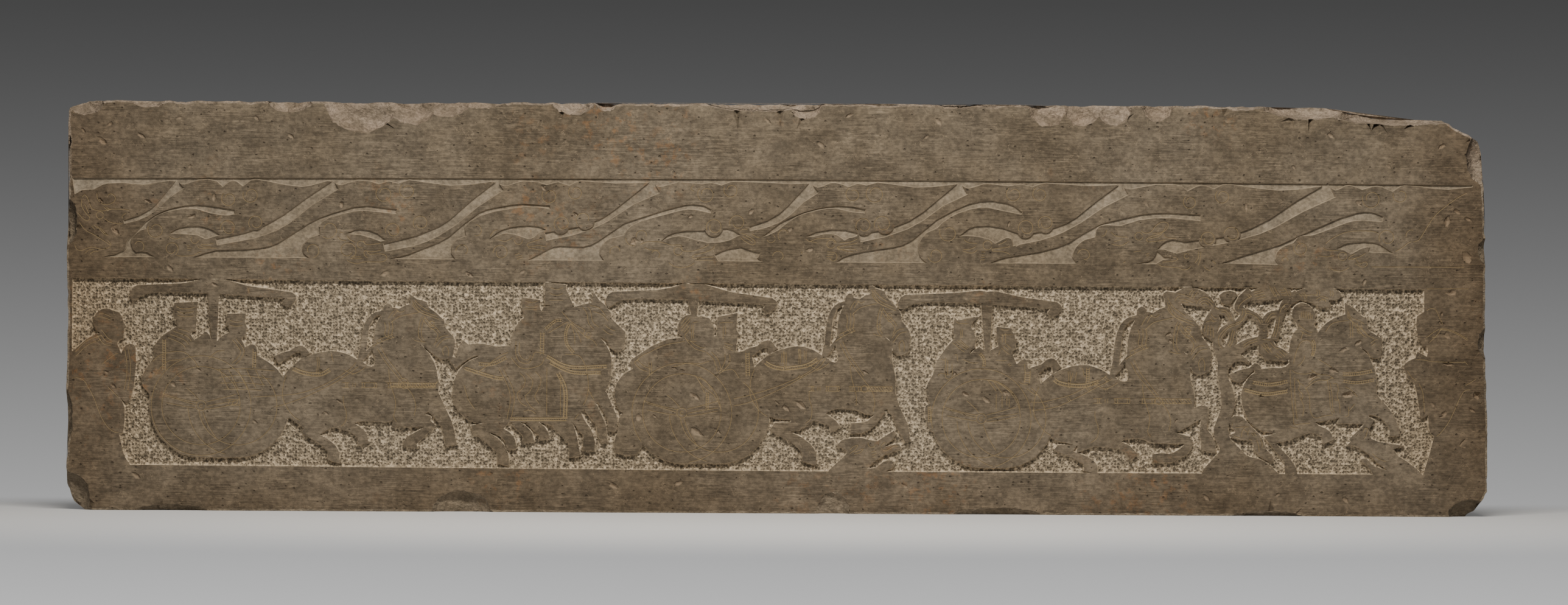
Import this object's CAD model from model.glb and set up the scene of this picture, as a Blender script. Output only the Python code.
"""A carved stone slab: its dressed face, pecked ground, incised lines, breaks and weathering."""

import math
import random

import bpy
import numpy as np
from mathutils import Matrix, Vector, noise
from mathutils.bvhtree import BVHTree
from mathutils.geometry import delaunay_2d_cdt
from mathutils.kdtree import KDTree


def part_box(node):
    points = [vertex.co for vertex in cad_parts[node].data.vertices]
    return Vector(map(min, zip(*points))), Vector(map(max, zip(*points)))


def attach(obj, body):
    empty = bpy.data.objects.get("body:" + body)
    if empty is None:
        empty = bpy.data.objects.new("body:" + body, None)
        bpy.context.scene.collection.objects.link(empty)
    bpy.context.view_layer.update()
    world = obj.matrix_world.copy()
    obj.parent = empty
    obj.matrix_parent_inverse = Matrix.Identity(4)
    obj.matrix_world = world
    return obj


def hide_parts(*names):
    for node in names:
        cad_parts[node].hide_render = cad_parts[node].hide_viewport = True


bl_info = {
    "name": "Carved Stone Relief Panel",
    "version": (1, 0, 0),
    "blender": (4, 5, 0),
    "location": "View3D > Sidebar > Relief Panel",
    "description": "Builds a carved stone relief panel and the stage that it stands on",
    "category": "Object",
}

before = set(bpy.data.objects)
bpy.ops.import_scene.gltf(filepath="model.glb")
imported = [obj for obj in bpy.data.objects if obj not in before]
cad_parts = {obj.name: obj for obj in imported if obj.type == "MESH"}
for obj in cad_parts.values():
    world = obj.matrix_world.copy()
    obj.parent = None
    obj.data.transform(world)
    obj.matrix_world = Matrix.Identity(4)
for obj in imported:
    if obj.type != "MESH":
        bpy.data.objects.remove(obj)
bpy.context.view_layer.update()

NODE = "relief_slab"
LOW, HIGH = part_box(NODE)
MM = 0.001
# From here on, lengths on the stone are in millimetres.
ENDS = (LOW.x * 1000, HIGH.x * 1000)
FACE_Y = LOW.y * 1000                # the plane of the dressed face
BACK_Y = HIGH.y * 1000
TOP_Z = HIGH.z * 1000
RIBBON_Y = FACE_Y + 5                # a floor in front of it is a ribbon's, behind it the ground's
GROUND_DEPTH = 7                     # how far the pecked ground lies behind the face
GROUND_FIELD = (66, 396)             # the heights between which the ground is pecked
RIBBON_BAND = (424, 566)             # the heights between which the ribbons are sunk
TOP_EDGE = TOP_Z - 80                # points above it wear downwards
LEVEL = 0.05                         # how near to a plane a point has to be to lie in it
FLAT = 0.999                         # how much of a flat face's normal points forward
TINY = 1e-9
SEED = 20
RIM_STEP, OUTLINE_STEP = 7, 6        # between points along the outer rim and the face's outline
RIBBON_STEP, BREAK_STEP, FACE_STEP, BACK_STEP = 8, 4.5, 24, 26      # between loose points on each
PIT_RISE = 1.6                       # how much further apart pits are upwards than across
LINE_STEPS = ((70, 3.3), (125, 4.9), (math.inf, 6.5))   # between points of a line up to each length
LINE_GAP = 1.6                       # the least room between a line and the face's outline
RIM_GAP = 3.5                        # nearer the rim than this, no outline starts
FOOT_SHARES = (1.0, 0.6, 0.35)       # how far out a wall's foot is tried, in turn
MARK_COUNT = 400                     # small pits and scars that are tried on the face
RIM_END, WALL_END = 0.96 * ENDS[1], 0.95 * ENDS[1]      # points further out wear inwards
WALL_ROWS = 6                        # of points from the rim to the back
CREASE = math.radians(32)            # a sharper turn than this shows as an edge

FACE, GROUND, RIBBON, BREAK, SIDE = range(5)      # the kinds of surface, in material order
MARKS = ("groove", "sunk", "arris", "scar")       # what the materials know of each point


# ---------------------------------------------------------------- settings

class StoneSettings(bpy.types.PropertyGroup):
    """What a user would change on the stone."""

    pit_spacing: bpy.props.FloatProperty(
        name="Pit spacing", description="Distance between upright rows of pecked pits, in millimetres",
        default=5.2, min=4.4, max=12.0)
    pit_depth: bpy.props.FloatProperty(
        name="Pit depth", description="How deep the pecked pits go, in millimetres",
        default=1.8, min=0.0, max=4.0)
    line_width: bpy.props.FloatProperty(
        name="Line width", description="Width of an incised line, in millimetres",
        default=1.5, min=0.6, max=4.0)
    line_depth: bpy.props.FloatProperty(
        name="Line depth", description="Depth of an incised line, in millimetres",
        default=0.8, min=0.1, max=2.0)
    wall_slope: bpy.props.FloatProperty(
        name="Wall slope", description="How far the cut sides lean into the ground, in millimetres",
        default=2.2, min=0.5, max=5.0)
    face_colour: bpy.props.FloatVectorProperty(
        name="Face", description="Colour of the dressed face", subtype="COLOR", size=3,
        default=(0.118, 0.091, 0.060), min=0, max=1)
    ground_colour: bpy.props.FloatVectorProperty(
        name="Ground", description="Colour of the pecked ground", subtype="COLOR", size=3,
        default=(0.315, 0.255, 0.178), min=0, max=1)
    break_colour: bpy.props.FloatVectorProperty(
        name="Breaks", description="Colour of the fresher stone in the breaks", subtype="COLOR",
        size=3, default=(0.25, 0.19, 0.135), min=0, max=1)
    line_colour: bpy.props.FloatVectorProperty(
        name="Lines", description="Colour of the dust in the incised lines", subtype="COLOR",
        size=3, default=(0.27, 0.20, 0.105), min=0, max=1)


class StageSettings(bpy.types.PropertyGroup):
    """What a user would change on the stage."""

    lens: bpy.props.FloatProperty(
        name="Lens", description="Focal length of the camera", default=120.0, min=35, max=300,
        unit="CAMERA")
    floor_colour: bpy.props.FloatVectorProperty(
        name="Floor", description="Colour of the floor", subtype="COLOR", size=3,
        default=(0.62, 0.62, 0.62), min=0, max=1)
    key_strength: bpy.props.FloatProperty(
        name="Key light", description="Power of the raking light from above", default=190.0,
        min=0, unit="POWER")
    fill_strength: bpy.props.FloatProperty(
        name="Fill light", description="Power of the soft light from the front", default=45.0,
        min=0, unit="POWER")


# ---------------------------------------------------------------- the solid, read from the frame

class Solid:
    """The slab's solid in millimetres, with the edges where its flat face ends."""

    def __init__(self, node):
        mesh = node.data
        mesh.calc_loop_triangles()
        points = np.array([v.co for v in mesh.vertices], float) * 1000
        self.points, index = np.unique(np.round(points, 2), axis=0, return_inverse=True)
        triangles = np.array([t.vertices for t in mesh.loop_triangles], int)
        self.triangles = index.reshape(-1)[triangles]
        self.tree = BVHTree.FromPolygons(
            [Vector(p) for p in self.points], [tuple(map(int, t)) for t in self.triangles])
        self.rims = self._face_rims()

    def in_plane(self, y):
        """Which triangles lie in the upright plane at y."""
        return (np.abs(self.points[self.triangles, 1] - y) < LEVEL).all(axis=1)

    def _face_rims(self):
        """Edges of the flat face: start, end and the way that leads off the face."""
        thirds, beyond = {}, set()
        for triangle, flat in zip(self.triangles, self.in_plane(FACE_Y)):
            for k in range(3):
                edge = tuple(sorted((triangle[k], triangle[(k + 1) % 3])))
                if flat:
                    thirds.setdefault(edge, []).append(triangle[(k + 2) % 3])
                else:
                    beyond.add(edge)
        rims = []
        for edge, third in thirds.items():
            if len(third) != 1 or edge not in beyond:
                continue
            a, b, inner = self.points[[*edge, third[0]]][:, [0, 2]]
            side = np.array([-(b - a)[1], (b - a)[0]])
            side /= max(np.linalg.norm(side), TINY)
            if side @ (inner - a) > 0:
                side = -side
            rims.append((a, b, side))
        return rims


# ---------------------------------------------------------------- incised lines

# The largest gouges: middle, half-length, breadth over length, turn and depth.
GOUGES = [
    (-1140, 622, 9, 0.5, 2.5, 5), (-1127, 651, 6, 0.5, 0.6, 3), (-1172, 640, 5, 0.5, 2.2, 3),
    (-1075, 632, 8, 0.4, 2.7, 4), (-1010, 662, 6, 0.5, 0.4, 3), (-880, 662, 6, 0.5, 2.4, 3),
    (-822, 632, 7, 0.5, 2.6, 4), (-992, 580, 4, 0.6, 1, 3), (-988, 496, 7, 0.5, 0.3, 5),
    (-812, 517, 6, 0.5, 2.0, 4), (-1025, 408, 7, 0.5, 2.4, 4), (-950, 381, 6, 0.5, 2.7, 4),
    (-1120, 210, 6, 0.5, 2.4, 4), (-1130, 232, 5, 0.5, 2.7, 3), (-1018, 212, 6, 0.5, 2.5, 4),
    (-1060, 195, 6, 0.5, 2.3, 4), (-975, 237, 5, 0.5, 2.6, 3), (-880, 150, 5, 0.5, 2.5, 3),
    (-1080, 58, 8, 0.5, 2.5, 4), (-738, 185, 6, 0.4, 2.6, 4), (-770, 236, 7, 0.4, 2.9, 4),
    (-785, 260, 6, 0.5, 2.4, 4), (-760, 165, 5, 0.5, 2.5, 3), (-662, 401, 8, 0.5, 0.5, 4),
    (-395, 546, 6, 0.5, 2.3, 5), (-341, 503, 5, 0.5, 2.7, 4), (-252, 551, 7, 0.5, 2.4, 5),
    (-243, 456, 8, 0.6, 1.3, 6), (-229, 459, 4, 0.7, 1.5, 5), (-520, 400, 7, 0.5, 2.6, 4),
    (-430, 405, 6, 0.5, 0.5, 3), (-18, 662, 7, 0.4, 2.4, 3), (-45, 508, 6, 0.6, 0.8, 4),
    (-147, 500, 5, 0.5, 0.4, 4), (-275, 45, 9, 0.5, 2.6, 5), (-165, 50, 8, 0.5, 0.4, 4),
    (-139, 197, 11, 0.35, 2.6, 5), (-136, 137, 13, 0.4, 2.5, 6), (-233, 160, 6, 0.8, 1.5, 5),
    (-206, 163, 5, 0.4, 2.6, 3), (-100, 138, 8, 0.35, 2.4, 4), (-174, 244, 6, 0.4, 2.8, 3),
    (-160, 241, 5, 0.3, 2.8, 3), (-102, 232, 5, 0.5, 0.5, 3), (41, 182, 10, 0.45, 2.5, 7),
    (15, 178, 9, 0.4, 2.5, 5), (0, 187, 5, 0.4, 2.3, 3), (120, 672, 7, 0.4, 0.5, 4),
    (72, 622, 8, 0.5, 2.5, 4), (270, 662, 8, 0.5, 2.3, 4), (250, 636, 5, 0.5, 0.6, 3),
    (55, 445, 7, 0.5, 0.2, 4), (20, 478, 7, 0.5, 0.5, 3), (390, 490, 5, 0.4, 1.3, 4),
    (149, 239, 6, 0.35, 2.6, 4), (134, 189, 7, 0.3, 2.2, 4), (185, 185, 9, 0.7, 0.7, 7),
    (318, 203, 6, 0.55, 2.6, 6), (353, 193, 8, 0.5, 2.5, 5), (386, 205, 8, 0.45, 2.7, 5),
    (298, 238, 7, 0.5, 2.7, 5), (285, 238, 4, 0.7, 1.5, 4), (332, 281, 7, 0.5, 0.6, 4),
    (217, 47, 6, 0.5, 2.5, 3), (90, 40, 7, 0.5, 2.4, 4), (110, 20, 7, 0.5, 0.5, 4),
    (932, 642, 7, 0.5, 2.5, 4), (1120, 625, 7, 0.5, 0.5, 4), (1030, 590, 6, 0.5, 2.5, 3),
    (870, 588, 5, 0.5, 2.2, 3), (790, 520, 8, 0.35, 1.7, 4), (621, 525, 9, 0.3, 2.3, 3),
    (590, 506, 6, 0.6, 0.5, 5), (677, 470, 8, 0.4, 1.4, 4), (804, 434, 6, 0.5, 2.8, 5),
    (980, 528, 7, 0.5, 2.4, 5), (948, 505, 10, 0.35, 0.1, 5), (1146, 515, 7, 0.5, 2.5, 5),
    (1129, 498, 8, 0.6, 1.4, 6), (1165, 502, 7, 0.4, 2.7, 4), (1138, 377, 11, 0.3, 0, 5),
    (1121, 342, 4, 0.6, 1.5, 4), (1120, 327, 7, 0.4, 2.6, 4), (1130, 259, 9, 0.45, 2.8, 6),
    (964, 205, 9, 0.5, 0, 8), (981, 293, 7, 0.5, 0.5, 5), (956, 281, 9, 0.4, 0.5, 4),
    (939, 247, 9, 0.3, 2.6, 5), (905, 235, 10, 0.35, 0.4, 7), (815, 204, 10, 0.3, 2.6, 6),
    (805, 229, 14, 0.45, 2.6, 7), (780, 233, 9, 0.5, 0.7, 6), (725, 30, 7, 0.5, 2.4, 4),
    (845, 35, 6, 0.5, 0.5, 3), (960, 27, 7, 0.5, 2.5, 4), (990, 395, 6, 0.5, 1.2, 4),
    (660, 306, 6, 0.4, 0.5, 5), (666, 293, 7, 0.4, 2.7, 5), (674, 160, 4, 0.5, 1, 3),
    (1125, 173, 8, 0.5, 0.6, 4), (1107, 188, 8, 0.4, 2.3, 3), (1172, 180, 7, 0.4, 2.7, 4),
    (1183, 205, 9, 0.6, 2.9, 9), (1130, 304, 8, 0.4, 2.7, 4), (1158, 127, 7, 0.3, 0.8, 3),
    (-951, 528, 6, 0.6, 1.5, 5), (-946, 518, 7, 0.3, 2.1, 4), (-1062, 521, 7, 0.4, 2.7, 5),
    (-1118, 472, 10, 0.4, 2.3, 6), (-1142, 521, 8, 0.4, 2.2, 5), (-736, 517, 6, 0.6, 1.6, 5),
    (-990, 475, 4, 0.6, 0, 3), (1163, 437, 10, 0.7, 2.2, 8),
]

# Scrolls of the upper band: middle, radius, where the line starts and how far it turns (degrees).
SCROLLS = [
    (-926, 526, 12.5, 125, 410), (-889, 533, 13.5, 150, 400), (-664, 536, 14, 130, 410),
    (-625, 541, 13.5, 120, 400), (-385, 534, 13, 140, 390), (-341, 540, 12.5, 130, 380),
    (-121, 538, 14.5, 130, 420), (-79, 545, 12.5, 125, 410), (127, 539, 12.5, 110, 380),
    (164, 540, 15.5, 125, 420), (398, 541, 13, 115, 400), (442, 541, 12.5, 110, 400),
    (695, 529, 11.5, 120, 430), (750, 539, 12.5, 125, 420), (1001, 536, 15.5, 150, 420),
    (1050, 542, 12.5, 150, 330), (-927, 477, 13, 200, -400), (-880, 486, 12.5, 225, -390),
    (-649, 474, 13, 210, -400), (-602, 487, 13, 230, -400), (-364, 487, 13.5, 230, -400),
    (-327, 494, 13.5, 225, -250), (-107, 483, 13.5, 215, -430), (-68, 490, 13.5, 230, -400),
    (145, 486, 13.5, 230, -390), (177, 489, 14.5, 225, -400), (419, 484, 13.5, 210, -400),
    (452, 492, 13, 230, -420), (726, 467, 12.5, 215, -420), (766, 475, 13.5, 215, -380),
    (1028, 470, 14, 230, -400), (1073, 476, 13.5, 200, -110), (-1049, 473, 13.5, 150, 390),
    (-757, 475, 16, 140, 400), (-228, 467, 11, 200, -220), (288, 475, 15, 150, 350),
    (12, 470, 12, 230, -200), (-1078, 446, 11.5, 170, 360), (-785, 440, 13.5, 160, 420),
    (-272, 440, 11, 200, -200), (266, 437, 12.5, 180, 400), (2, 433, 10.5, 180, -250),
    (517, 438, 11.5, 170, -280), (857, 431, 6.5, 200, -230), (-1022, 441, 11.5, -60, 420),
    (-725, 440, 14.5, -80, 420), (-467, 438, 13, 195, -400), (-205, 434, 9, 150, -210),
    (882, 452, 12, 150, 420), (92, 433, 9, 60, -200), (-531, 440, 12, 190, -250), (-510, 473, 12, 90, -200),
]

# Rings: middle, radius, and where an open one starts and how far it goes.
RINGS = [
    (-1143, 497.5, 6.2), (-983, 457, 6.5), (-703, 450.5, 5.8, 20, 300), (-437, 458.6, 6.8, 170, 230),
    (-168, 442, 7), (-11, 464, 7), (90, 455, 7), (354, 454.5, 7.5), (609, 471, 6.5), (690, 438, 4.4),
    (953, 439, 7), (160.6, 119, 6.4), (694, 315, 5), (172, 316, 4), (-583, 318, 4.2), (983, 313, 4.2),
    (-630, 217, 8), (-318, 300, 4),
]

# Ladders of two lines and their rungs: breadth, room between rungs, and the way they go.
LADDERS = [
    (4, 3.5, 341, 273, 349, 262, 349, 248), (9, 4, 422, 256, 423, 240, 421.5, 221),
    (4, 3.5, 257, 184, 258, 154), (4, 3.5, -117, 205, -117.5, 175), (6, 4, -50, 273, -49, 230),
    (5, 4, -1033.5, 290, -1033.5, 235), (5, 4, -881, 275, -882, 240), (6, 4, -650, 214, -572, 214),
    (6, 4, -396, 305, -396.5, 265), (4, 3.5, -392, 308, -374, 323, -362, 324),
    (4, 3.5, -350, 320, -356, 305, -355, 285, -342, 268), (5, 3.5, -390, 264, -350, 246, -285, 247),
    (5, 3.5, -385, 254, -345, 237, -295, 236), (5, 3.5, -535, 245, -480, 228, -460, 225),
    (5, 3.5, -505, 250, -480, 250, -455, 262), (6, 4, -370, 237, -357, 207, -357, 157),
    (5, 4, -452, 157, -352, 157), (5, 3.5, 801, 226, 826, 222, 846, 224, 863, 228),
    (5, 3.5, 953, 240, 978, 241, 1010, 247), (4, 3.5, 902, 299, 906, 290, 905, 278, 902, 269),
    (5, 3.5, 784, 214, 822, 206, 863, 211), (4, 4, 953, 229, 978, 226, 1010, 231),
    (6, 4, -21, 256, -12, 250, 0, 246, 16, 245, 50, 250, 70, 262),
    (6, 4, 466, 230, 476, 223, 496, 219, 520, 219, 545, 226), (5, 4, 524.5, 250, 524, 223),
    (6, 4, -822, 243, -797, 233, -770, 231, -752, 240),
]

# Each open curve as x, z, x, z ... along its way.
OFFICERS = [
    (-1185, 265, -1165, 285, -1140, 295), (-1184, 258, -1163, 278, -1140, 288),
    (-1140, 305, -1128, 290, -1120, 287), (-1144, 301, -1132, 286, -1120, 282),
    (-1148, 297, -1136, 281, -1121, 277), (-1140, 245, -1118, 262, -1107, 265),
    (-1095, 278, -1090, 240, -1095, 200), (-1101, 278, -1096, 240, -1101, 200),
    (-1190, 222, -1178, 223, -1168, 218, -1160, 205, -1152, 190, -1145, 172, -1138, 155, -1128, 140,
     -1117, 132, -1108, 131), (-1130, 210, -1110, 190), (-1160, 330, -1140, 332, -1122, 326),
    (-1160, 324, -1140, 326, -1122, 320), (1091, 346, 1103, 352, 1111, 349, 1117, 336, 1123, 324),
    (1117, 318, 1130, 317, 1148, 310, 1167, 299), (1117, 316, 1130, 315, 1148, 308, 1166, 297),
    (1093, 301, 1105, 310, 1117, 318), (1099, 293, 1111, 305, 1121, 318), (1103, 304, 1113, 303),
    (1062, 248, 1072, 234, 1080, 230), (1058, 256, 1070, 264, 1086, 265.5, 1109, 262, 1160, 261),
    (1082, 227, 1089, 211, 1091, 195, 1093, 174),
    (1171, 215, 1160, 213, 1152, 201, 1142, 178, 1132, 158, 1117, 139, 1107, 135, 1101, 139, 1101, 151),
    (1181, 234, 1160, 221), (1091, 384.6, 1120, 385, 1168, 385.2), (1158, 264, 1166, 256),
    (1000, 421.2, 1060, 421.4, 1160, 421.5),
]

CHARIOT_RIDERS = [
    # the first chariot
    (-1015, 308, -990, 300, -983, 290), (-1020, 303, -995, 294, -987, 284),
    (-1025, 298, -1000, 288, -991, 278), (-1030, 293, -1005, 282, -996, 272),
    (-1015, 345, -1002, 340, -980, 343), (-1016, 338, -1002, 333, -980, 336),
    (-1016, 330, -998, 327, -980, 329), (-925, 322, -912, 318, -897, 321),
    (-925, 314, -912, 311, -897, 314), (-920, 290, -905, 270, -910, 258, -920, 248),
    (-914, 292, -899, 271, -904, 256, -914, 246), (-900, 381, -893, 376, -890, 365, -885, 352),
    (-1062, 240, -1040, 262, -1005, 268, -985, 255, -975, 240), (-1052, 225, -1030, 250, -1005, 255),
    (-960, 255, -945, 268, -930, 270), (-945, 238, -900, 240, -845, 236), (-942, 225, -900, 228, -850, 222),
    (-940, 215, -900, 216, -862, 212), (-935, 205, -900, 205, -868, 203), (-940, 238, -925, 205),
    (-925, 239, -908, 204), (-910, 239, -892, 204), (-895, 239, -878, 206), (-880, 238, -866, 212),
    (-930, 187, -905, 188), (-930, 178, -905, 178), (-926, 179, -922, 187), (-919, 179, -915, 187),
    (-912, 179, -908, 187), (-885, 192, -835, 195, -800, 200, -760, 215, -720, 240, -708, 255),
    (-850, 175, -830, 180, -790, 195, -740, 220, -705, 245),
    # the second chariot
    (-240, 254, -229, 264, -215, 271, -190, 283, -154, 290), (-240, 256, -239, 251, -229, 242, -217, 238),
    (-236, 258, -225, 248, -212, 243), (-216, 256, -215, 232), (-212, 257, -211, 233),
    (-156, 301, -152, 292, -134, 289), (-154, 293, -139, 278, -120, 272), (-149, 292, -132, 281, -120, 278),
    (-144, 320, -144, 292), (-141, 320, -141, 293), (-144, 321, -132, 323),
    (-120, 272, -108, 261, -103, 249, -100, 237), (-112, 273, -101, 262, -96, 250, -94, 240),
    (-88, 270, -88, 256, -96, 239), (-80, 270, -80, 254, -91, 240),
    (-100, 234, -88, 241, -74, 242, -66, 232, -63, 227), (-99, 320, -90, 322, -74, 322),
    (-91, 318, -91, 292), (-87, 318, -87, 300), (-91, 288, -73, 283), (-91, 284, -75, 278),
    (-89, 280, -73, 274), (-138, 233, -125, 215, -105, 198, -93, 174), (-138, 233, -130, 220, -121, 201),
    (-132, 231, -119, 222, -110, 208), (-176, 246, -150, 253, -130, 252, -112, 257),
    (-74, 193, -42, 200.5, 2, 215, 41, 232, 62, 246, 76, 263),
    (-74, 181, -45, 188, 4, 209, 50, 234, 73, 249, 85, 268), (34, 228, 40, 235), (37, 226, 43, 233),
    (74, 259, 80, 264), (77, 256, 83, 261), (8, 281, 8, 252), (11, 281, 11, 252), (37, 281, 37, 252),
    (40, 281, 40, 252), (46, 280, 46, 258), (49, 280, 49, 258), (-167, 314, -150, 334),
    (-166, 308, -146, 332), (-163, 305, -146, 326), (-159, 303, -147, 318), (-156, 300, -147, 311),
    # the third chariot
    (300, 329, 305, 323, 318, 322, 330, 322), (301, 333, 307, 328, 320, 327), (310, 314, 309.5, 295),
    (313, 314, 312, 297), (300, 293, 309, 285, 321, 277), (303, 295, 314, 286, 323, 279),
    (307, 296, 318, 286, 326, 281), (296, 290, 306, 281, 318, 273), (272, 264, 284, 259),
    (284.5, 266, 284.5, 232, 295, 232, 295, 256), (288, 262, 288, 236, 292, 236),
    (271, 233, 276, 238, 290, 235), (298, 268, 303, 270, 305, 258), (312, 262, 328, 256, 341, 256),
    (374, 316, 381, 312, 398, 312), (376, 303, 398, 304), (380, 305, 380, 289), (385, 307, 385, 288),
    (377, 283, 388, 273, 397, 269), (381, 286, 392, 277, 400, 274), (386, 289, 396, 280, 403, 277),
    (377, 279, 373, 267), (367, 260, 390, 260), (406, 226, 414, 221, 425, 220), (388, 252, 394, 256),
    (390, 250, 397, 254), (370, 206, 370, 175), (380, 203, 380, 178), (388, 202, 388, 182),
    (392, 198, 392, 180), (355, 228, 371, 207), (364, 227, 381, 203), (373, 224, 398, 205),
    (355, 228, 373, 224, 392, 212, 405, 196, 411, 178),
    (428, 190, 445, 190, 468, 195, 496, 203, 520, 215, 541, 225, 555, 235, 564, 248),
    (430, 176, 455, 179, 476, 184, 500, 195, 520, 205, 541, 217, 557, 225, 572, 234), (450, 186, 454, 181),
    (453, 187, 457, 182), (488, 199, 493, 192), (491, 200, 496, 193), (521, 216, 527, 207),
    (524, 217, 530, 209), (551, 231, 557, 225), (553, 234, 560, 228), (499.5, 242, 495, 225),
    (506, 243, 502, 224), (421, 214, 432, 205, 440, 203),
]

# The mounted riders and their saddle cloths.
RIDERS = [
    (-430, 358, -415, 354, -400, 357), (-430, 350, -415, 346, -400, 349), (-428, 343, -400, 342),
    (-385, 380, -372, 376, -360, 380), (-386, 370, -372, 366, -360, 370), (-386, 358, -360, 358),
    (-440, 290, -441, 270, -435, 255, -420, 251, -412, 262, -408, 270, -395, 268),
    (-434, 288, -435, 270, -430, 260, -420, 257, -415, 267),
    (-365, 340, -345, 320, -325, 308, -327, 300, -310, 290, -303, 280), (-348, 320, -335, 300, -330, 285),
    (-348, 320, -330, 303, -318, 292), (-348, 320, -342, 300, -341, 282), (-387, 302, -360, 318, -352, 322),
    (-360, 267, -335, 265, -325, 252, -320, 235, -318, 210, -322, 190, -327, 180), (-318, 208, -308, 190),
    (-450, 262, -430, 243, -400, 248, -392, 262), (-365, 233, -365, 162), (-388, 245, -388, 162),
    (-470, 245, -450, 200, -455, 155), (-462, 243, -443, 200, -447, 160),
    (-435, 236, -425, 225, -428, 210, -438, 200, -432, 185, -420, 178),
    (-425, 236, -412, 222, -416, 205, -424, 195, -416, 180, -405, 172),
    (-408, 238, -398, 225, -402, 208, -408, 195, -400, 182), (-405, 165, -415, 172, -428, 170),
    (-318, 350, -300, 345, -288, 330), (-312, 340, -296, 334, -284, 322),
    (-335, 352, -322, 338, -318, 320, -308, 308), (-330, 356, -316, 342, -311, 322, -300, 312),
    (-292, 318, -282, 310, -272, 306), (-296, 311, -286, 303, -276, 300), (-500, 238, -470, 262, -452, 270),
    (-512, 232, -480, 252), (-528, 215, -520, 190, -508, 172), (-345, 150, -335, 165, -322, 172),
    # the last rider
    (871, 332, 875, 328, 883, 320, 895, 312, 904, 310), (868, 326, 877, 318, 888, 309, 902, 304),
    (884, 346, 884, 333), (887, 347, 887, 333), (890, 347, 890, 332), (893, 347, 893, 332),
    (896, 346, 896, 331), (899, 345, 899, 331), (902, 342, 902, 331), (887, 312, 883, 297),
    (871, 256, 875, 275, 883, 293, 893, 297, 900, 293, 904, 277, 902, 269),
    (867, 248, 875, 242, 891, 240, 908, 244), (878, 253, 884, 258, 890, 268, 889, 272),
    (900, 248, 912, 240, 930, 238, 941, 231), (912, 266, 925, 258, 938, 250),
    (865, 248, 867, 215, 871, 174, 873, 155.5, 883, 155.5, 902, 157.7), (873, 236, 874, 195, 878, 163),
    (878, 234, 882, 222, 880, 214, 886, 207), (891, 219, 898, 203, 900, 178, 908, 166, 925, 170, 939, 171),
    (875, 232, 884, 223, 891, 219), (881, 209, 885, 195, 889, 184, 887, 168),
    (884, 210, 887, 206, 886, 198, 882, 196), (928, 230, 932, 207, 934, 182, 939, 171),
    (932, 229, 936, 207, 938, 182, 942, 173), (891, 215, 904, 225, 916, 230, 928, 230, 938, 235),
    (895, 222, 906, 232, 918, 236), (936, 224, 944, 224, 947, 214, 945, 203, 949, 190, 950, 172),
    (940, 200, 944, 195, 949, 198), (964, 186, 964, 170, 957, 169), (976, 191, 964, 177),
    (957, 220, 969, 213, 980, 201), (924, 310, 934, 324, 949, 329, 965, 331),
    (957, 359, 959, 342, 966, 332, 980, 322, 995, 308), (961, 350, 968, 336, 982, 330, 1000, 318),
    (960, 345, 972, 325, 990, 303), (966, 330, 967, 300), (970, 330, 971, 300),
    (978, 330, 980, 318, 986, 308, 996, 301), (984, 328, 987, 316, 996, 306, 1008, 300),
    (1000, 292, 1008, 298, 1014, 300), (1002, 288, 1010, 294),
    (988, 140, 993, 150, 997, 148, 994, 136, 990, 130), (1003, 108, 1015, 98, 1030, 92),
    (865, 153, 868, 150, 880, 148),
]

HOUNDS = [
    (122, 107, 130, 114, 137, 116, 132, 108, 122, 101), (130, 104, 140, 108, 147, 110, 140, 103, 130, 101),
    (176, 113, 181, 120, 195, 121, 205, 117), (178, 109, 187, 108, 198, 115, 208, 114),
    (176, 113, 178, 109), (158, 104, 170, 107), (159, 99, 170, 103), (160, 95, 169, 98),
]

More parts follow.
